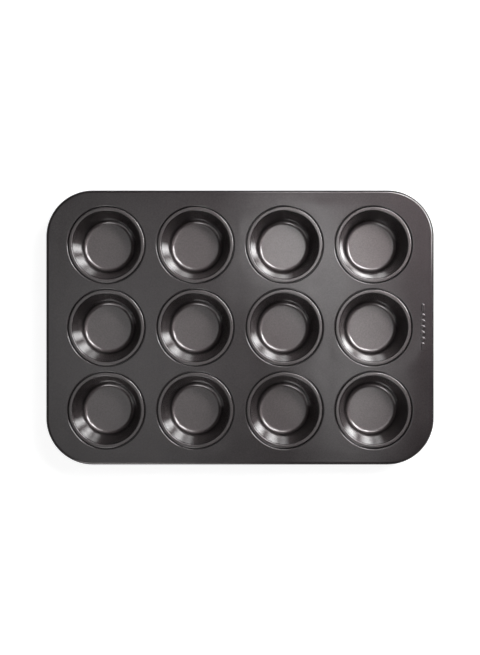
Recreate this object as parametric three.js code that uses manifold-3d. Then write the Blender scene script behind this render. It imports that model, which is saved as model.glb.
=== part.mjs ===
// A twelve-cup muffin tin, in millimetres, +Z up, standing on its cup bases at z = 0.
//
// The tin is a pressed assembly of sheet steel. A flat frame sheet has twelve round holes, each with
// a short collar turned down around it, and its outer edge is curled round a steel wire. Each cup is
// drawn separately. Its lip rolls outwards into a flat flange, drops inside the collar and hooks
// under the collar's lower edge, which is the seam that holds the cup in the frame.

import * as THREE from "three";
import { mergeVertices } from "three/addons/utils/BufferGeometryUtils.js";
import Module from "manifold-3d";

// Overall size
const PAN_LENGTH = 400; // along X, over the curled edge
const PAN_WIDTH = 283; // along Y, over the curled edge
const PAN_HEIGHT = 34; // cup bases to the top face of the frame
const CORNER_RADIUS = 48; // plan radius of the four outer corners

// Cup layout
const COLUMNS = 4;
const ROWS = 3;
const COLUMN_PITCH = 91.9;
const ROW_PITCH = 85.4;

// Sheet, wire and the clearance left between neighbouring pieces
const FRAME_SHEET = 0.8;
const CUP_SHEET = 0.7;
const WIRE_RADIUS = 1.25;
const CLEARANCE = 0.4;

// Cup interior
const MOUTH_RADIUS = 35; // inner radius where the wall meets the lip: a 2 3/4 inch cup
const BASE_FLAT_RADIUS = 22.5; // flat of the base, inside the corner fillet
const BASE_FILLET = 5.1; // inner radius of the corner between base and wall
const LIP_RADIUS = 1.4; // upper face of the bend from wall to flange
const FLANGE_DROP = 0.3; // the flange sits this far under the frame's top face
const FLANGE_OUTER_RADIUS = 39.4; // outer face of the flange's turned-down leg
const FLANGE_BEND = 1.1; // upper face of the bend from flange to leg

// Frame collar and curled edge
const COLLAR_DEPTH = 5; // frame top to the collar's lower edge
const COLLAR_BEND = 1.2; // upper face of the bend from deck to collar
const CURL_START = Math.PI / 2; // the curl leaves the deck at its top, turns out and under
const CURL_END = (-7 * Math.PI) / 6; // and stops just short of the deck's underside

// How finely round shapes are faceted
const CUP_SIDES = 24;
const CORNER_STEPS = 6;
const BEND_STEPS = 2;
const CURL_STEPS = 10;
const WIRE_SIDES = 8;

// Values that follow from the dimensions above
const COLLAR_INNER = FLANGE_OUTER_RADIUS + CLEARANCE;
const COLLAR_OUTER = COLLAR_INNER + FRAME_SHEET;
const CURL_RADIUS = WIRE_RADIUS + CLEARANCE + FRAME_SHEET;
const FLANGE_TOP = PAN_HEIGHT - FLANGE_DROP;
const CORNERS = 4;
const OVERLAP = 1; // how far solids that are joined or cut run past each other
const TAPER_PASSES = 20;
const SAME_POINT = 1e-3; // vertices closer than this are one vertex

const point = (x, y) => new THREE.Vector2(x, y);

// Points of an arc in the section plane, from one angle to another, both ends included.
function arc(centre, radius, from, to, steps) {
  const points = [];
  for (let i = 0; i <= steps; i++) {
    const angle = from + ((to - from) * i) / steps;
    points.push(point(centre.x + radius * Math.cos(angle), centre.y + radius * Math.sin(angle)));
  }
  return points;
}

// A profile in (radius, height) turned about the Z axis.
function turned(profile) {
  return new THREE.LatheGeometry(profile, CUP_SIDES).rotateX(Math.PI / 2);
}

// The wall's angle from vertical. The wall runs straight from the base fillet to the lip and is
// tangent to both, so its ends move with its angle, and the angle is found by repetition.
function wallTaper() {
  let taper = 0;
  for (let pass = 0; pass < TAPER_PASSES; pass++) {
    const run = MOUTH_RADIUS - BASE_FLAT_RADIUS - BASE_FILLET * Math.cos(taper);
    const rise = FLANGE_TOP - CUP_SHEET - (BASE_FILLET + LIP_RADIUS) * (1 - Math.sin(taper));
    taper = Math.atan2(run, rise);
  }
  return taper;
}

// The cup's section, as one closed strip of sheet from the axis out to the hook and back.
function cupProfile() {
  const taper = wallTaper();
  const flangeUnder = FLANGE_TOP - CUP_SHEET;
  const legInner = FLANGE_OUTER_RADIUS - CUP_SHEET;
  const hookInner = COLLAR_OUTER + CLEARANCE;
  const hookFloor = PAN_HEIGHT - COLLAR_DEPTH - CLEARANCE;
  const hookTip = hookFloor + COLLAR_DEPTH / 2;
  const filletCentre = point(BASE_FLAT_RADIUS, CUP_SHEET + BASE_FILLET);
  const lipCentre = point(MOUTH_RADIUS + LIP_RADIUS * Math.cos(taper), FLANGE_TOP - LIP_RADIUS);
  const bendCentre = point(FLANGE_OUTER_RADIUS - FLANGE_BEND, FLANGE_TOP - FLANGE_BEND);
  const up = Math.PI / 2;
  const down = -up;
  const inward = Math.PI - taper; // from the lip's centre to where the wall meets it
  return [
    point(0, 0),
    ...arc(filletCentre, BASE_FILLET + CUP_SHEET, down, -taper, BEND_STEPS),
    ...arc(lipCentre, LIP_RADIUS - CUP_SHEET, inward, up, 1),
    point(legInner, flangeUnder),
    point(legInner, hookFloor - CUP_SHEET),
    point(hookInner + CUP_SHEET, hookFloor - CUP_SHEET),
    point(hookInner + CUP_SHEET, hookTip),
    point(hookInner, hookTip),
    point(hookInner, hookFloor),
    point(FLANGE_OUTER_RADIUS, hookFloor),
    ...arc(bendCentre, FLANGE_BEND, 0, up, 1),
    ...arc(lipCentre, LIP_RADIUS, up, inward, BEND_STEPS),
    ...arc(filletCentre, BASE_FILLET, -taper, down, BEND_STEPS),
    point(0, CUP_SHEET),
  ];
}

// A solid that cuts one hole: the inside of the collar, flaring out over its upper bend.
function holeProfile() {
  const bendCentre = point(COLLAR_INNER + COLLAR_BEND, PAN_HEIGHT - COLLAR_BEND);
  return [
    point(0, PAN_HEIGHT - COLLAR_DEPTH - OVERLAP),
    point(COLLAR_INNER, PAN_HEIGHT - COLLAR_DEPTH - OVERLAP),
    ...arc(bendCentre, COLLAR_BEND, Math.PI, Math.PI / 2, 1),
    point(bendCentre.x, PAN_HEIGHT + OVERLAP),
    point(0, PAN_HEIGHT + OVERLAP),
  ];
}

// The outside of one collar as a solid plug, flaring out to the underside of the deck.
function collarProfile() {
  const deckUnder = PAN_HEIGHT - FRAME_SHEET;
  return [
    point(0, PAN_HEIGHT - COLLAR_DEPTH - 2 * OVERLAP),
    point(COLLAR_OUTER, PAN_HEIGHT - COLLAR_DEPTH - 2 * OVERLAP),
    point(COLLAR_OUTER, PAN_HEIGHT - COLLAR_BEND),
    point(COLLAR_INNER + COLLAR_BEND, deckUnder),
    point(COLLAR_INNER + COLLAR_BEND, deckUnder + FRAME_SHEET / 2),
    point(0, deckUnder + FRAME_SHEET / 2),
  ];
}

// Stations round the pan's outline: each has a corner's centre and a direction out from it.
function rimStations() {
  const reach = point(PAN_LENGTH / 2 - CORNER_RADIUS, PAN_WIDTH / 2 - CORNER_RADIUS);
  const stations = [];
  for (let corner = 0; corner < CORNERS; corner++) {
    const start = (corner * Math.PI) / 2;
    const middle = start + Math.PI / 4;
    const centre = point(
      reach.x * Math.sign(Math.cos(middle)),
      reach.y * Math.sign(Math.sin(middle)),
    );
    for (let step = 0; step <= CORNER_STEPS; step++) {
      const angle = start + (step / CORNER_STEPS) * (Math.PI / 2);
      stations.push({ centre, direction: point(Math.cos(angle), Math.sin(angle)) });
    }
  }
  return stations;
}

// The pan's outline moved in from its outer edge.
function outline(inset) {
  return rimStations().map(({ centre, direction }) =>
    centre.clone().addScaledVector(direction, CORNER_RADIUS - inset),
  );
}

// A closed section, in (distance out from the corner's centre, height), carried round the outline.
function sweptRound(section) {
  const stations = rimStations();
  const positions = stations.flatMap(({ centre, direction }) =>
    section.flatMap((p) => [centre.x + direction.x * p.x, centre.y + direction.y * p.x, p.y]),
  );
  const index = [];
  const count = section.length;
  stations.forEach((_, s) => {
    const here = s * count;
    const next = ((s + 1) % stations.length) * count;
    section.forEach((_, k) => {
      const after = (k + 1) % count;
      index.push(here + k, next + k, next + after, here + k, next + after, here + after);
    });
  });
  return new THREE.BufferGeometry()
    .setAttribute("position", new THREE.Float32BufferAttribute(positions, 3))
    .setIndex(index);
}

const wireCentre = point(CORNER_RADIUS - CURL_RADIUS, PAN_HEIGHT - CURL_RADIUS);

// The section of the curled edge: the deck's last few millimetres, then the curl round the wire.
function curlSection() {
  const inner = point(wireCentre.x - CURL_RADIUS - OVERLAP, PAN_HEIGHT);
  return [
    point(inner.x, PAN_HEIGHT - FRAME_SHEET),
    ...arc(wireCentre, CURL_RADIUS - FRAME_SHEET, CURL_START, CURL_END, CURL_STEPS),
    ...arc(wireCentre, CURL_RADIUS, CURL_END, CURL_START, CURL_STEPS),
    inner,
  ];
}

const wasm = await Module();
wasm.setup();

function toSolid(geometry) {
  const bare = geometry.clone();
  bare.deleteAttribute("normal");
  bare.deleteAttribute("uv");
  const merged = mergeVertices(bare, SAME_POINT);
  return new wasm.Manifold(
    new wasm.Mesh({
      numProp: 3,
      vertProperties: new Float32Array(merged.attributes.position.array),
      triVerts: new Uint32Array(merged.index.array),
    }),
  );
}

function toGeometry(solid) {
  const mesh = solid.getMesh();
  return new THREE.BufferGeometry()
    .setAttribute("position", new THREE.BufferAttribute(mesh.vertProperties, 3))
    .setIndex(new THREE.BufferAttribute(mesh.triVerts, 1));
}

// Centres of the cups, from the back left corner, row by row.
function cupPlaces() {
  const places = [];
  for (let row = 0; row < ROWS; row++) {
    for (let column = 0; column < COLUMNS; column++) {
      places.push({
        name: `cup_row${row + 1}_col${column + 1}`,
        x: (column - (COLUMNS - 1) / 2) * COLUMN_PITCH,
        y: ((ROWS - 1) / 2 - row) * ROW_PITCH,
      });
    }
  }
  return places;
}

// A slab of the pan's outline between two heights.
function slab(inset, bottom, top) {
  return toSolid(
    new THREE.ExtrudeGeometry(new THREE.Shape(outline(inset)), {
      depth: top - bottom,
      bevelEnabled: false,
    }).translate(0, 0, bottom),
  );
}

// The frame sheet: a slab as deep as the collars, with the holes cut through it and all that lies
// under the deck and outside the collars cut away, and the curled edge joined on.
function frameGeometry() {
  const collarBottom = PAN_HEIGHT - COLLAR_DEPTH;
  let sheet = slab(CURL_RADIUS + OVERLAP, collarBottom, PAN_HEIGHT);
  let underside = slab(CURL_RADIUS, collarBottom - OVERLAP, PAN_HEIGHT - FRAME_SHEET);
  for (const { x, y } of cupPlaces()) {
    sheet = sheet.subtract(toSolid(turned(holeProfile()).translate(x, y, 0)));
    underside = underside.subtract(toSolid(turned(collarProfile()).translate(x, y, 0)));
  }
  return toGeometry(sheet.subtract(underside).add(toSolid(sweptRound(curlSection()))));
}

// One length of wire bent into a loop. Its ends meet, with a small gap, in the middle of the back.
function wireGeometry() {
  const section = arc(wireCentre, WIRE_RADIUS, 0, 2 * Math.PI, WIRE_SIDES).slice(0, -1);
  const acrossCurl = 2 * CURL_RADIUS;
  const gap = new THREE.BoxGeometry(CLEARANCE, acrossCurl, acrossCurl);
  gap.translate(0, PAN_WIDTH / 2 - CURL_RADIUS, wireCentre.y);
  return toGeometry(toSolid(sweptRound(section)).subtract(toSolid(gap)));
}

const coating = { color: 0x4b4849, roughness: 0.38, metalness: 0.55 };
const steel = { color: 0x9a9a98, roughness: 0.5, metalness: 0.9 };

function piece(name, geometry, material) {
  geometry.computeVertexNormals();
  const mesh = new THREE.Mesh(geometry, new THREE.MeshStandardMaterial(material));
  mesh.name = name;
  return mesh;
}

const tin = new THREE.Group();
tin.add(piece("frame", frameGeometry(), coating));
tin.add(piece("rim_wire", wireGeometry(), steel));
for (const { name, x, y } of cupPlaces()) {
  const cup = piece(name, turned(cupProfile()), coating);
  cup.position.set(x, y, 0);
  tin.add(cup);
}

export default tin;
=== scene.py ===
# A twelve-cup muffin tin, seen from straight above on a pale floor.
# Everything is in metres and in the frame's axes: +X along the long side, +Y to the back, +Z up.

import math

import bpy
import numpy as np
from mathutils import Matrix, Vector, noise
from mathutils.geometry import delaunay_2d_cdt


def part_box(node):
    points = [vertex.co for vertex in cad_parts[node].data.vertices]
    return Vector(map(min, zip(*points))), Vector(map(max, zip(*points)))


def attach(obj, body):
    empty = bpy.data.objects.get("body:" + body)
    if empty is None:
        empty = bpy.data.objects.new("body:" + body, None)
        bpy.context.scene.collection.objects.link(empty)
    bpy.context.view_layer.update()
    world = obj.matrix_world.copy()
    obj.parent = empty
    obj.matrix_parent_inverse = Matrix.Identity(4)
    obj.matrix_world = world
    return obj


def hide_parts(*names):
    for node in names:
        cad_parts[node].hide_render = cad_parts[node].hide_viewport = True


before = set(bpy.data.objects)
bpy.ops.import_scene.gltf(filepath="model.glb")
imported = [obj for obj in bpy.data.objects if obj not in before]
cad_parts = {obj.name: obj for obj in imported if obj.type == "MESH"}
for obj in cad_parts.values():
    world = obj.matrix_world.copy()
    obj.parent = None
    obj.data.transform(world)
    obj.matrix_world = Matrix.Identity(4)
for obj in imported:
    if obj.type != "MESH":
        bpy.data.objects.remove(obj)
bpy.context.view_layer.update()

MM = 0.001

# ---------------------------------------------------------------- dimensions

# Sheet, wire and the clearance between neighbouring pieces
FRAME_SHEET = 0.8 * MM
CUP_SHEET = 0.7 * MM
WIRE_RADIUS = 1.25 * MM
CLEARANCE = 0.4 * MM

# Cup section
MOUTH_RADIUS = 35 * MM
BASE_FLAT_RADIUS = 22.5 * MM
BASE_FILLET = 5.1 * MM
LIP_RADIUS = 1.4 * MM
FLANGE_DROP = 0.3 * MM
FLANGE_OUTER_RADIUS = 39.4 * MM
FLANGE_BEND = 1.1 * MM
COLLAR_DEPTH = 5 * MM
COLLAR_BEND = 1.2 * MM
CORNER_RADIUS = 48 * MM

# Raised motif on the right border: a row of beads between two bars
MOTIF_HEIGHT = 0.45 * MM
MOTIF_CENTRE_INSET = 11.5 * MM  # in from the outer edge
BEAD_COUNT = 5
BEAD_PITCH = 6.0 * MM
BEAD_RADIUS = 2.0 * MM
BAR_LENGTH = 8.0 * MM
BAR_HALF_WIDTH = 1.2 * MM
MOTIF_EDGE = 0.7 * MM  # width of the slope round each raised shape

# Long shallow waves in the deck
WAVE_HEIGHT = 0.25 * MM
WAVE_LENGTH = 60 * MM
WAVE_FADE = 12 * MM  # the distance from a bend over which they come in

# How finely the meshes are made
ROUND_SIDES = 128
BEND_STEPS = 8
INNER_BEND_STEPS = 4
FILLET_STEPS = 12
CURL_STEPS = 26
WIRE_SIDES = 16
SHARP_ANGLE = math.radians(40)
CORNER_STEPS = 24
EDGE_STEP = 6 * MM
DECK_STEP = 3.2 * MM
EDGE_ROOM = DECK_STEP / 3  # kept between the grid's points and the deck's edges
MOTIF_STEP = 0.4 * MM
SUPPORT = 0.4 * MM  # flat strip kept beside every bend, so that its shading stays on the bend
SAME_POINT = 0.0001 * MM
TAPER_ROUNDS = 30  # far more than the wall's angle needs to settle

# What the frame says
FRAME_LOW, FRAME_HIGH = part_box("frame")
PAN_LENGTH = FRAME_HIGH.x - FRAME_LOW.x
PAN_WIDTH = FRAME_HIGH.y - FRAME_LOW.y
TOP = FRAME_HIGH.z
CUPS = sorted(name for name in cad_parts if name.startswith("cup_"))

# What follows from the dimensions
FLANGE_TOP = TOP - FLANGE_DROP
COLLAR_INNER = FLANGE_OUTER_RADIUS + CLEARANCE
COLLAR_OUTER = COLLAR_INNER + FRAME_SHEET
HOLE_RADIUS = COLLAR_INNER + COLLAR_BEND  # where the deck's flat ends
CURL_RADIUS = WIRE_RADIUS + CLEARANCE + FRAME_SHEET
CURL_END = math.radians(-210)
WIRE_Z = TOP - CURL_RADIUS
UP = math.pi / 2


def cup_centre(name):
    low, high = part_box(name)
    return (low.x + high.x) / 2, (low.y + high.y) / 2


# ---------------------------------------------------------------- section lines

def arc(centre, radius, start, end, steps):
    """Points of an arc in a section plane, both ends included."""
    angles = [start + (end - start) * i / steps for i in range(steps + 1)]
    return [(centre[0] + radius * math.cos(a), centre[1] + radius * math.sin(a)) for a in angles]


def straight(start, end):
    """Points inside a straight stretch: a support point by each end, and one in the middle."""
    length = math.dist(start, end)
    edge = min(SUPPORT, length / 4)
    places = [edge + (length - 2 * edge) * i / 2 for i in range(3)]
    return [
        (start[0] + (end[0] - start[0]) * p / length, start[1] + (end[1] - start[1]) * p / length)
        for p in places
    ]


def joined(*stretches):
    """Arcs and points in order, with support points along every gap between them."""
    line = []
    for stretch in stretches:
        if line and math.dist(line[-1], stretch[0]) > 2 * SUPPORT:
            line += straight(line[-1], stretch[0])
        line += stretch
    return line


def wall_taper():
    """The wall's angle from vertical, tangent to the base fillet and to the lip."""
    taper = 0.0
    for _ in range(TAPER_ROUNDS):
        run = MOUTH_RADIUS - BASE_FLAT_RADIUS - BASE_FILLET * math.cos(taper)
        rise = FLANGE_TOP - CUP_SHEET - (BASE_FILLET + LIP_RADIUS) * (1 - math.sin(taper))
        taper = math.atan2(run, rise)
    return taper


def cup_section():
    """The cup's closed section, from the axis under the base out to the hook and back inside."""
    taper = wall_taper()
    inward = math.pi - taper
    under = FLANGE_TOP - CUP_SHEET
    hook_inner = COLLAR_OUTER + CLEARANCE
    hook_floor = TOP - COLLAR_DEPTH - CLEARANCE
    hook_tip = hook_floor + COLLAR_DEPTH / 2
    hook_bend = CUP_SHEET
    fillet = (BASE_FLAT_RADIUS, CUP_SHEET + BASE_FILLET)
    lip = (MOUTH_RADIUS + LIP_RADIUS * math.cos(taper), FLANGE_TOP - LIP_RADIUS)
    shoulder = (FLANGE_OUTER_RADIUS - FLANGE_BEND, FLANGE_TOP - FLANGE_BEND)
    heel = (FLANGE_OUTER_RADIUS - CUP_SHEET + hook_bend, hook_floor - CUP_SHEET + hook_bend)
    toe = (hook_inner + CUP_SHEET - hook_bend, hook_floor - CUP_SHEET + hook_bend)
    return joined(
        [(0, 0)],
        arc(fillet, BASE_FILLET + CUP_SHEET, -UP, -taper, FILLET_STEPS),
        arc(lip, LIP_RADIUS - CUP_SHEET, inward, UP, BEND_STEPS),
        arc(shoulder, FLANGE_BEND - CUP_SHEET, UP, 0, INNER_BEND_STEPS),
        arc(heel, hook_bend, -math.pi, -UP, BEND_STEPS),
        arc(toe, hook_bend, -UP, 0, BEND_STEPS),
        [(hook_inner + CUP_SHEET, hook_tip)],
        [(hook_inner, hook_tip)],
        [(hook_inner, hook_floor)],
        [(FLANGE_OUTER_RADIUS, hook_floor)],
        arc(shoulder, FLANGE_BEND, 0, UP, BEND_STEPS),
        arc(lip, LIP_RADIUS, UP, inward, BEND_STEPS),
        arc(fillet, BASE_FILLET, -taper, -UP, FILLET_STEPS),
        [(0, CUP_SHEET)],
    )


def collar_section():
    """From the deck's top over the bend, down the collar, and up its back to the deck's underside."""
    bend = (HOLE_RADIUS, TOP - COLLAR_BEND)
    edge = TOP - COLLAR_DEPTH
    return joined(
        arc(bend, COLLAR_BEND, UP, math.pi, BEND_STEPS),
        [(COLLAR_INNER, edge)],
        [(COLLAR_OUTER, edge)],
        arc(bend, COLLAR_BEND - FRAME_SHEET, math.pi, UP, INNER_BEND_STEPS),
    )


def curl_section():
    """From the deck's top round the curl, and back inside it to the deck's underside."""
    centre = (0, WIRE_Z)
    return arc(centre, CURL_RADIUS, UP, CURL_END, CURL_STEPS) + arc(
        centre, CURL_RADIUS - FRAME_SHEET, CURL_END, UP, CURL_STEPS
    )


# ---------------------------------------------------------------- mesh building

class Shell:
    """Vertices and faces of one mesh, collected ring by ring."""

    def __init__(self):
        self.points = []
        self.faces = []

    def add(self, points):
        first = len(self.points)
        self.points.extend(points)
        return list(range(first, len(self.points)))

    def strip(self, here, there):
        """Quads between two open lines of as many points."""
        for i in range(len(here) - 1):
            self.faces.append((here[i], here[i + 1], there[i + 1], there[i]))

    def bridge(self, here, there):
        """Quads between two closed rings, or triangles where one ring is a single point."""
        count = max(len(here), len(there))
        for i in range(count):
            j = (i + 1) % count
            if len(there) == 1:
                self.faces.append((here[i], here[j], there[0]))
            elif len(here) == 1:
                self.faces.append((here[0], there[j], there[i]))
            else:
                self.faces.append((here[i], here[j], there[j], there[i]))

    def object(self, name):
        mesh = bpy.data.meshes.new(name)
        mesh.from_pydata(self.points, [], self.faces)
        mesh.validate()
        mesh.polygons.foreach_set("use_smooth", [True] * len(mesh.polygons))
        mesh.set_sharp_from_angle(angle=SHARP_ANGLE)
        piece = bpy.data.objects.new(name, mesh)
        bpy.context.scene.collection.objects.link(piece)
        return piece


def circle(x, y, radius, z):
    turns = [2 * math.pi * i / ROUND_SIDES for i in range(ROUND_SIDES)]
    return [(x + radius * math.cos(t), y + radius * math.sin(t), z) for t in turns]


def outline(inset, z):
    """The pan's outline moved in from its edge, with even steps along its straight sides."""
    reach = Vector((PAN_LENGTH / 2 - CORNER_RADIUS, PAN_WIDTH / 2 - CORNER_RADIUS))
    points = []
    for corner in range(4):
        start = corner * UP
        middle = start + UP / 2
        centre = Vector(
            (math.copysign(reach.x, math.cos(middle)), math.copysign(reach.y, math.sin(middle)))
        )
        for step in range(CORNER_STEPS + 1):
            angle = start + UP * step / CORNER_STEPS
            points.append(centre + (CORNER_RADIUS - inset) * Vector((math.cos(angle), math.sin(angle))))
    even = []
    for here, there in zip(points, points[1:] + points[:1]):
        steps = max(1, round((there - here).length / EDGE_STEP))
        even += [here.lerp(there, i / steps) for i in range(steps)]
    return [(p.x, p.y, z) for p in even]


# ---------------------------------------------------------------- the frame sheet

def raised_bar(x, y, half_length):
    """Distance from a point to a rounded bar along Y, under zero inside it."""
    return math.hypot(x, max(abs(y) - half_length, 0)) - BAR_HALF_WIDTH


def motif_height(x, y):
    """Height of the raised motif at a point of the deck."""
    x -= PAN_LENGTH / 2 - MOTIF_CENTRE_INSET
    row = (BEAD_COUNT - 1) / 2 * BEAD_PITCH
    nearest = max(-row, min(row, row + round((y - row) / BEAD_PITCH) * BEAD_PITCH))
    bead = math.hypot(x, y - nearest) - BEAD_RADIUS
    bar_centre = row + BEAD_PITCH + BAR_LENGTH / 2 - BEAD_RADIUS
    bar = raised_bar(x, abs(y) - bar_centre, BAR_LENGTH / 2 - BAR_HALF_WIDTH)
    rise = min(1, max(0, 0.5 - min(bead, bar) / MOTIF_EDGE))
    return MOTIF_HEIGHT * rise * rise * (3 - 2 * rise)


def motif_reach():
    row = (BEAD_COUNT - 1) / 2 * BEAD_PITCH
    return BEAD_RADIUS + MOTIF_EDGE, row + BEAD_PITCH + BAR_LENGTH - BEAD_RADIUS + MOTIF_EDGE


def deck_points(centres):
    """Loose points over the deck's flat: a coarse grid, and a fine one under the motif."""
    half_x, half_y = motif_reach()
    middle = PAN_LENGTH / 2 - MOTIF_CENTRE_INSET
    clear_of_edge = CURL_RADIUS + 2 * SUPPORT
    reach_x = PAN_LENGTH / 2 - CORNER_RADIUS
    reach_y = PAN_WIDTH / 2 - CORNER_RADIUS

    def on_flat(x, y, room):
        corner = math.hypot(max(abs(x) - reach_x, 0), max(abs(y) - reach_y, 0))
        if corner > CORNER_RADIUS - clear_of_edge - room:
            return False
        return all(math.hypot(x - a, y - b) > HOLE_RADIUS + SUPPORT + room for a, b in centres)

    points = []
    rows = int(PAN_WIDTH / DECK_STEP)
    columns = int(PAN_LENGTH / DECK_STEP)
    for j in range(rows):
        for i in range(columns):
            x = (i + 0.5 * (j % 2) - columns / 2) * DECK_STEP
            y = (j - rows / 2) * DECK_STEP
            in_motif = abs(x - middle) < half_x + MOTIF_STEP and abs(y) < half_y + MOTIF_STEP
            if not in_motif and on_flat(x, y, EDGE_ROOM):
                points.append((x, y))
    for j in range(int(2 * half_y / MOTIF_STEP) + 1):
        for i in range(int(2 * half_x / MOTIF_STEP) + 1):
            points.append((middle - half_x + i * MOTIF_STEP, j * MOTIF_STEP - half_y))
    return points


def deck_unevenness(x, y, centres):
    """A pressed sheet is never quite flat: long shallow waves that die out at every bend."""
    room = min(math.hypot(x - a, y - b) for a, b in centres) - HOLE_RADIUS
    room = min(room, PAN_LENGTH / 2 - abs(x) - CURL_RADIUS, PAN_WIDTH / 2 - abs(y) - CURL_RADIUS)
    fade = min(1, max(0, room) / WAVE_FADE)
    return WAVE_HEIGHT * fade * fade * noise.noise(Vector((x, y, 0)) / WAVE_LENGTH)


def make_frame():
    centres = [cup_centre(name) for name in CUPS]
    flat = []
    edges = []

    def loop(points):
        first = len(flat)
        flat.extend((x, y) for x, y, _ in points)
        edges.extend((first + i, first + (i + 1) % len(points)) for i in range(len(points)))
        return list(range(first, len(flat)))

    rim = loop(outline(CURL_RADIUS, TOP))
    loop(outline(CURL_RADIUS + SUPPORT, TOP))
    rings = [loop(circle(x, y, HOLE_RADIUS, TOP)) for x, y in centres]
    for x, y in centres:
        loop(circle(x, y, HOLE_RADIUS + SUPPORT, TOP))
    flat.extend(deck_points(centres))
    points = [Vector(p) for p in flat]
    placed, _, triangles, _, _, _ = delaunay_2d_cdt(points, edges, [], 0, SAME_POINT)
    if len(placed) != len(flat):
        raise ValueError("the deck's points moved while it was divided into triangles")

    def on_deck(triangle):
        x = sum(flat[v][0] for v in triangle) / 3
        y = sum(flat[v][1] for v in triangle) / 3
        return all(math.hypot(x - a, y - b) > HOLE_RADIUS for a, b in centres)

    shell = Shell()
    lift = [motif_height(x, y) + deck_unevenness(x, y, centres) for x, y in flat]
    upper = shell.add([(x, y, TOP + z) for (x, y), z in zip(flat, lift)])
    lower = shell.add([(x, y, TOP - FRAME_SHEET + z) for (x, y), z in zip(flat, lift)])
    for a, b, c in filter(on_deck, triangles):
        shell.faces.append((upper[a], upper[b], upper[c]))
        shell.faces.append((lower[a], lower[c], lower[b]))

    for (x, y), ring in zip(centres, rings):
        last = [upper[v] for v in ring]
        for radius, z in collar_section()[1:-1]:
            here = shell.add(circle(x, y, radius, z))
            shell.bridge(last, here)
            last = here
        shell.bridge(last, [lower[v] for v in ring])

    last = [upper[v] for v in rim]
    for out, z in curl_section()[1:-1]:
        here = shell.add(outline(CURL_RADIUS - out, z))
        shell.bridge(here, last)
        last = here
    shell.bridge([lower[v] for v in rim], last)
    return shell.object("frame_sheet")


# ---------------------------------------------------------------- cups and wire

def make_cup(name):
    """One cup, turned about its own axis. Its mesh keeps, at each point, the direction round the
    axis and the distance along the section, for the marks that drawing leaves in the sheet."""
    x, y = cup_centre(name)
    shell = Shell()
    turns = []
    section = cup_section()
    travelled = 0.0
    last = None
    for i, (radius, z) in enumerate(section):
        if i:
            travelled += math.dist(section[i - 1], section[i])
        points = [(x, y, z)] if radius == 0 else circle(x, y, radius, z)
        here = shell.add(points)
        turns += [
            (0, 0, travelled) if radius == 0
            else ((p[0] - x) / radius, (p[1] - y) / radius, travelled)
            for p in points
        ]
        if last:
            shell.bridge(last, here)
        last = here
    piece = shell.object(name + "_drawn")
    turn = piece.data.attributes.new("turn", "FLOAT_VECTOR", "POINT")
    turn.data.foreach_set("vector", np.array(turns, np.float32).ravel())
    return piece


def wire_line(inset, z):
    """The pan's outline, opened in the middle of the back edge where the wire's ends meet."""
    line = outline(inset, z)
    pairs = enumerate(zip(line, line[1:]), 1)
    cut = next(i for i, (a, b) in pairs if a[1] > 0 and a[0] > 0 >= b[0])
    y = line[cut][1]
    return [(-CLEARANCE / 2, y, z)] + line[cut:] + line[:cut] + [(CLEARANCE / 2, y, z)]


def make_wire():
    shell = Shell()
    rings = []
    for i in range(WIRE_SIDES):
        angle = 2 * math.pi * i / WIRE_SIDES
        inset = CURL_RADIUS - WIRE_RADIUS * math.cos(angle)
        rings.append(shell.add(wire_line(inset, WIRE_Z + WIRE_RADIUS * math.sin(angle))))
    for here, there in zip(rings, rings[1:] + rings[:1]):
        shell.strip(here, there)
    shell.faces.append([ring[0] for ring in rings])
    shell.faces.append([ring[-1] for ring in reversed(rings)])
    return shell.object("rim_wire_bent")


# ---------------------------------------------------------------- materials

class Graph:
    """The nodes of one material, light or world: each call makes a node and sets its inputs."""

    def __init__(self, owner):
        owner.use_nodes = True
        self.owner = owner
        self.tree = owner.node_tree
        self.tree.nodes.clear()

    def node(self, kind, inputs=None, **settings):
        made = self.tree.nodes.new("ShaderNode" + kind)
        for key, value in settings.items():
            setattr(made, key, value)
        for key, value in (inputs or {}).items():
            if isinstance(value, bpy.types.NodeSocket):
                self.tree.links.new(value, made.inputs[key])
            else:
                made.inputs[key].default_value = value
        return made

    def scaled(self, vector, scale):
        return self.node("VectorMath", {0: vector, 1: scale}, operation="MULTIPLY").outputs[0]

    def noise(self, vector, scale, detail):
        inputs = {"Vector": vector, "Scale": scale, "Detail": detail}
        return self.node("TexNoise", inputs).outputs["Fac"]

    def ranged(self, value, low, high, start=0.0, end=1.0, curve="LINEAR"):
        """value from start to end, mapped on to low to high."""
        inputs = {"Value": value, "From Min": start, "From Max": end, "To Min": low, "To Max": high}
        return self.node("MapRange", inputs, interpolation_type=curve).outputs["Result"]

    def maths(self, operation, a, b):
        return self.node("Math", {0: a, 1: b}, operation=operation).outputs[0]

    def mixed(self, share, a, b):
        made = self.node("Mix", {"Factor": share}, data_type="RGBA")
        for socket, value in ((made.inputs[6], a), (made.inputs[7], b)):
            if isinstance(value, bpy.types.NodeSocket):
                self.tree.links.new(value, socket)
            else:
                socket.default_value = (*value, 1)
        return made.outputs[2]

    def bumped(self, height, distance, strength, under=None):
        inputs = {"Height": height, "Distance": distance, "Strength": strength}
        if under:
            inputs["Normal"] = under
        return self.node("Bump", inputs).outputs["Normal"]

    def surface(self, inputs):
        self.node("OutputMaterial", {"Surface": self.node("BsdfPrincipled", inputs).outputs[0]})
        return self.owner


COATING_DARK = (0.047, 0.039, 0.041)
COATING_LIGHT = (0.066, 0.056, 0.058)
PAINTED_WALL_SHADE = 0.4  # painted shade: the steep wall's colour is darkened to this share of the deck's
# painted light: the paler colours of the cup's flat, upward-facing base
LIT_BASE_DARK = (0.132, 0.113, 0.115)
LIT_BASE_LIGHT = (0.180, 0.156, 0.158)
BODY_ROUGHNESS = 0.42
BASE_ROUGHNESS = 0.5
DECK_GLAZE_ROUGHNESS = 0.06
CUP_GLAZE_ROUGHNESS = 0.04
GLAZE_IOR = 1.8
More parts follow.
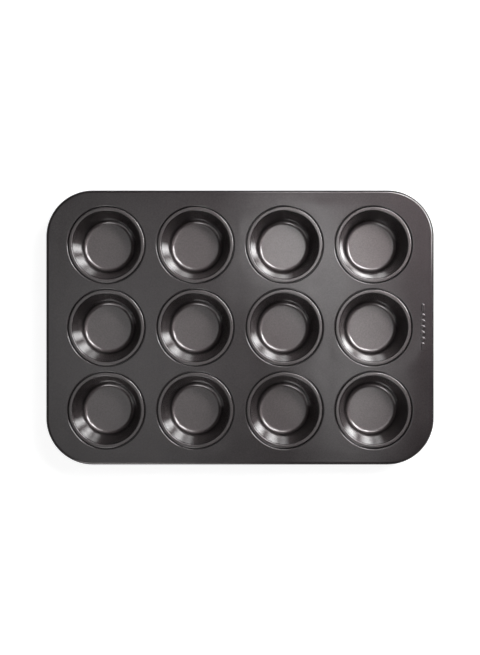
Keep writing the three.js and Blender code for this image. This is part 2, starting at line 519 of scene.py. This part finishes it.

# Heights in a cup: the base's rougher finish and its painted light, a paler colour, fade out from the
# first to the second, and a share of that painted light comes back on the flange, above the third
BASE_TOP = 1.6 * MM
WALL_START = 4.0 * MM
WALL_END = FLANGE_TOP - 0.6 * MM
# painted light: the share of the base's paler colour that is painted on the flange
FLANGE_PAINTED_LIGHT = 0.5

# Nearly all of a noise's values lie between these two
NOISE_LOW = 0.3
NOISE_HIGH = 0.7

# Marks in the coating. A scale is in cycles of noise a metre. WALL_LINES and BASE_RINGS scale the
# vector that a cup's mesh keeps: the direction round the axis, then metres along the section.
MOTTLE_SCALE = 45
MOTTLE_TONE = 0.2  # how far it moves the share of the paler colour
MOTTLE_ROUGHNESS = 0.02
GRAIN_SCALE = 900
GRAIN_DEPTH = 0.002 * MM
GRAIN_STRENGTH = 0.6
GRAIN_TONE = (0.1, 0.9)  # the share of the paler colour without mottle
FLECK_SCALE = 2600
FLECK_ROUGHNESS = 0.03
WALL_LINES = (38, 38, 60)  # long up the wall and narrow round it
WALL_LINE_DEPTH = 0.02 * MM
BASE_RINGS = (0.3, 0.3, 900)  # long round the axis and narrow along the section
BASE_RING_DEPTH = 0.004 * MM
DRAWING_STRENGTH = 0.5


def coating(name, drawn=False):
    """Dark satin non-stick coating: a rough metallic body with a fine fleck, under a clear glaze.
    On a drawn cup, painted shade darkens the wall and painted light makes the base and the flange
    paler; the base is also rougher, and fine lines run up the wall and faint rings run round the base,
    as drawing leaves them."""
    g = Graph(bpy.data.materials.new(name))
    place = g.node("TexCoord").outputs["Object"]
    mottle = g.noise(place, MOTTLE_SCALE, 3)
    grain = g.noise(place, GRAIN_SCALE, 2)
    fleck = g.noise(place, FLECK_SCALE, 1)
    tone = g.maths(
        "ADD",
        g.ranged(mottle, -MOTTLE_TONE, MOTTLE_TONE, NOISE_LOW, NOISE_HIGH),
        g.ranged(grain, *GRAIN_TONE, NOISE_LOW, NOISE_HIGH),
    )
    colour = g.mixed(tone, COATING_DARK, COATING_LIGHT)
    smoothest = BODY_ROUGHNESS - MOTTLE_ROUGHNESS
    roughest = BODY_ROUGHNESS + MOTTLE_ROUGHNESS
    roughness = g.maths(
        "ADD",
        g.ranged(mottle, smoothest, roughest, NOISE_LOW, NOISE_HIGH),
        g.ranged(fleck, -FLECK_ROUGHNESS, FLECK_ROUGHNESS, NOISE_LOW, NOISE_HIGH),
    )
    normal = g.bumped(grain, GRAIN_DEPTH, GRAIN_STRENGTH)
    if drawn:
        height = g.node("SeparateXYZ", {"Vector": place}).outputs["Z"]
        base = g.ranged(height, 1, 0, BASE_TOP, WALL_START)
        flange = g.ranged(height, 0, 1, WALL_END, FLANGE_TOP)
        # painted light: the flat base and, by a share, the flange are painted paler than the wall
        paler = g.maths("ADD", base, g.maths("MULTIPLY", flange, FLANGE_PAINTED_LIGHT))
        # painted shade: the wall is darkened, and it fades back to the deck's colour on the flange
        wall = g.scaled(colour, (PAINTED_WALL_SHADE, PAINTED_WALL_SHADE, PAINTED_WALL_SHADE))
        wall = g.mixed(flange, wall, colour)
        colour = g.mixed(paler, wall, g.mixed(tone, LIT_BASE_DARK, LIT_BASE_LIGHT))
        roughness = g.maths("ADD", roughness, g.ranged(base, 0, BASE_ROUGHNESS - BODY_ROUGHNESS))
        turn = g.node("Attribute", attribute_name="turn").outputs["Vector"]
        lines = g.noise(g.scaled(turn, WALL_LINES), 1, 2)
        rings = g.noise(g.scaled(turn, BASE_RINGS), 1, 2)
        normal = g.bumped(lines, WALL_LINE_DEPTH, DRAWING_STRENGTH, normal)
        normal = g.bumped(rings, BASE_RING_DEPTH, DRAWING_STRENGTH, normal)
    return g.surface(
        {
            "Base Color": colour,
            "Metallic": 1.0,
            "Roughness": roughness,
            "Normal": normal,
            "Coat Weight": 1.0,
            "Coat Roughness": CUP_GLAZE_ROUGHNESS if drawn else DECK_GLAZE_ROUGHNESS,
            "Coat IOR": GLAZE_IOR,
        }
    )


OXIDE = (0.30, 0.29, 0.28)
STEEL = (0.46, 0.46, 0.45)
BLOTCH_SCALE = 160
WIRE_GRAIN_SCALE = 3000
WIRE_GRAIN_DEPTH = 0.01 * MM
WIRE_GRAIN_STRENGTH = 0.5
WIRE_ROUGHNESS = (0.28, 0.5)
BLOTCH_EDGE = (0.35, 0.65)  # the noise's values between which oxide turns into bare steel


def bright_wire():
    """Drawn steel wire with a fine grain and a little dull oxide in blotches."""
    g = Graph(bpy.data.materials.new("steel_wire"))
    place = g.node("TexCoord").outputs["Object"]
    blotch = g.noise(place, BLOTCH_SCALE, 4)
    grain = g.noise(place, WIRE_GRAIN_SCALE, 1)
    return g.surface(
        {
            "Base Color": g.mixed(g.ranged(blotch, 0, 1, *BLOTCH_EDGE), OXIDE, STEEL),
            "Metallic": 1.0,
            "Roughness": g.ranged(blotch, *WIRE_ROUGHNESS, NOISE_LOW, NOISE_HIGH),
            "Normal": g.bumped(grain, WIRE_GRAIN_DEPTH, WIRE_GRAIN_STRENGTH),
        }
    )


FLOOR_GLOW = 0.86
PAPER_DARK = (0.36, 0.36, 0.36)
PAPER_LIGHT = (0.42, 0.42, 0.42)
TOOTH_SCALE = 700
TOOTH_DEPTH = 0.02 * MM
TOOTH_STRENGTH = 0.3
PAPER_ROUGHNESS = 0.8
PAPER_SPECULAR = 0.1


def floor_paper():
    """Pale seamless paper with a faint tooth, lit from within as a light table is. It shows only
    its upper side, so that the object can also be seen from below."""
    g = Graph(bpy.data.materials.new("floor_paper"))
    place = g.node("TexCoord").outputs["Object"]
    tooth = g.noise(place, TOOTH_SCALE, 3)
    paper = g.node(
        "BsdfPrincipled",
        {
            "Base Color": g.mixed(tooth, PAPER_DARK, PAPER_LIGHT),
            "Roughness": PAPER_ROUGHNESS,
            "Specular IOR Level": PAPER_SPECULAR,
            "Normal": g.bumped(tooth, TOOTH_DEPTH, TOOTH_STRENGTH),
            "Emission Color": (1, 1, 1, 1),
            "Emission Strength": FLOOR_GLOW,
        },
    )
    underside = g.node("NewGeometry").outputs["Backfacing"]
    clear = g.node("BsdfTransparent")
    both = g.node("MixShader", {0: underside, 1: paper.outputs[0], 2: clear.outputs[0]})
    g.node("OutputMaterial", {"Surface": both.outputs[0]})
    return g.owner


# ---------------------------------------------------------------- floor, light and camera

CAMERA_HEIGHT = 1450 * MM  # above the deck
PICTURE_HEIGHT = 675.4 * MM  # what the picture's long side covers at the deck
SENSOR = 36.0  # along the picture's long side, in the camera's own millimetres
FLOOR_RADIUS = 2500 * MM  # where the floor starts to rise into the backdrop
COVE_RADIUS = 1000 * MM
BACKDROP_HEIGHT = 4000 * MM
FLOOR_GAP = 0.2 * MM  # keeps the paper from coinciding with the cups' undersides


def make_floor():
    """A round floor that sweeps up into a backdrop, closed overhead. Only the camera sees it, so
    that the coating reflects the lights and the room, and not the white paper."""
    line = arc((FLOOR_RADIUS, COVE_RADIUS), COVE_RADIUS, -UP, 0, FILLET_STEPS)
    line += [(FLOOR_RADIUS + COVE_RADIUS, BACKDROP_HEIGHT), (0, BACKDROP_HEIGHT)]
    shell = Shell()
    last = shell.add([(0, 0, -FLOOR_GAP)])
    for radius, z in line:
        here = shell.add(circle(0, 0, radius, z - FLOOR_GAP) if radius else [(0, 0, z)])
        shell.bridge(here, last)
        last = here
    floor = shell.object("floor")
    floor.data.materials.append(floor_paper())
    floor.visible_diffuse = False
    floor.visible_glossy = False
    floor.visible_shadow = False


def aimed(thing, place, target):
    thing.location = place
    thing.rotation_euler = (Vector(target) - Vector(place)).to_track_quat("-Z", "Y").to_euler()


def softbox(name, size, peak):
    """A rectangular light of a peak radiance that fades smoothly to nothing at its edges."""
    light = bpy.data.lights.new(name, "AREA")
    light.shape = "RECTANGLE"
    light.size, light.size_y = size
    light.energy = math.pi * size[0] * size[1]  # so the shader's strength is the radiance
    g = Graph(light)
    spot = g.node("NewGeometry").outputs["Parametric"]
    centred = g.node("VectorMath", {0: spot, 1: (0.5, 0.5, 0)}, operation="SUBTRACT").outputs[0]
    reach = g.node("VectorMath", {0: centred}, operation="LENGTH").outputs["Value"]
    fade = g.ranged(reach, peak, 0, 0, 0.5, "SMOOTHSTEP")  # 0.5 is from the middle to an edge
    g.node("OutputLight", {"Surface": g.node("Emission", {"Strength": fade}).outputs[0]})
    lamp = bpy.data.objects.new(name, light)
    bpy.context.scene.collection.objects.link(lamp)
    lamp.visible_camera = False
    return lamp


# Name, place, size in metres and peak radiance. The ones at the side face the middle of the pan.
# The ones overhead face straight down, each at its own height, as level ones would hide each other.
SIDE_LIGHTS = (
    # three keys round the back right, for the bright patch on the left and front of every wall
    ("key_right", (0.66, 0.27, 1.1), (0.42, 0.42), 30.0),
    ("key_back", (0.40, 0.58, 1.1), (0.48, 0.42), 26.0),
    ("key_left", (0.12, 0.70, 1.1), (0.40, 0.40), 9.0),
    # a wide one lower down on the same side, for the glow round that patch
    ("surround", (0.755, 0.59, 0.80), (1.1, 0.7), 12.0),
    # and a weak one from the front, for the back of every wall
    ("fill_front", (-0.255, -0.95, 0.77), (0.9, 0.6), 6.0),
)
TOP_LIGHTS = (
    ("ceiling", (-0.25, -0.05, 1.60), (1.1, 1.4), 0.62),  # an even tone on the left of the deck
    ("overhead", (0.23, -0.03, 1.56), (0.38, 0.95), 1.15),  # the paler band right of the middle
    ("overhead_back", (0.11, 0.17, 1.52), (0.40, 0.42), 1.5),  # and its brighter back
)

# The room's light by the Z of a direction: it rises from the first to the second of these, is even
# up to the third, and has faded out at the fourth
ROOM_FLOOR = -1.6
ROOM_LOW = -0.1
ROOM_HIGH = 0.25
ROOM_CEILING = 0.65
ROOM_LEVEL = 0.4


def make_room():
    """A band of light round the horizon, dark overhead and about a third as bright straight down."""
    world = bpy.data.worlds.new("room")
    g = Graph(world)
    way = g.node("TexCoord").outputs["Generated"]
    height = g.node("SeparateXYZ", {"Vector": way}).outputs["Z"]
    rise = g.ranged(height, 0, ROOM_LEVEL, ROOM_FLOOR, ROOM_LOW, "SMOOTHSTEP")
    fall = g.ranged(height, 1, 0, ROOM_HIGH, ROOM_CEILING, "SMOOTHSTEP")
    glow = g.node("Background", {"Strength": g.maths("MULTIPLY", rise, fall)})
    g.node("OutputWorld", {"Surface": glow.outputs[0]})
    return world


def light_scene():
    for name, place, size, peak in SIDE_LIGHTS:
        aimed(softbox(name, size, peak), place, (0, 0, 0))
    for name, place, size, peak in TOP_LIGHTS:
        softbox(name, size, peak).location = place
    bpy.context.scene.world = make_room()


def make_camera():
    data = bpy.data.cameras.new("camera")
    data.sensor_width = SENSOR
    data.lens = SENSOR * CAMERA_HEIGHT / PICTURE_HEIGHT
    camera = bpy.data.objects.new("camera", data)
    bpy.context.scene.collection.objects.link(camera)
    camera.location = (0, 0, TOP + CAMERA_HEIGHT)
    bpy.context.scene.camera = camera


# ---------------------------------------------------------------- the scene

make_camera()
make_floor()
light_scene()

deck_coating = coating("nonstick_deck")
cup_coating = coating("nonstick_drawn", drawn=True)

sheet = make_frame()
sheet.data.materials.append(deck_coating)
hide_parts("frame")
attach(sheet, "root")

wire = make_wire()
wire.data.materials.append(bright_wire())
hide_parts("rim_wire")
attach(wire, "root")

for name in CUPS:
    cup = make_cup(name)
    cup.data.materials.append(cup_coating)
    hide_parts(name)
    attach(cup, "root")

scene = bpy.context.scene
scene.view_settings.view_transform = "Standard"
scene.view_settings.look = "None"
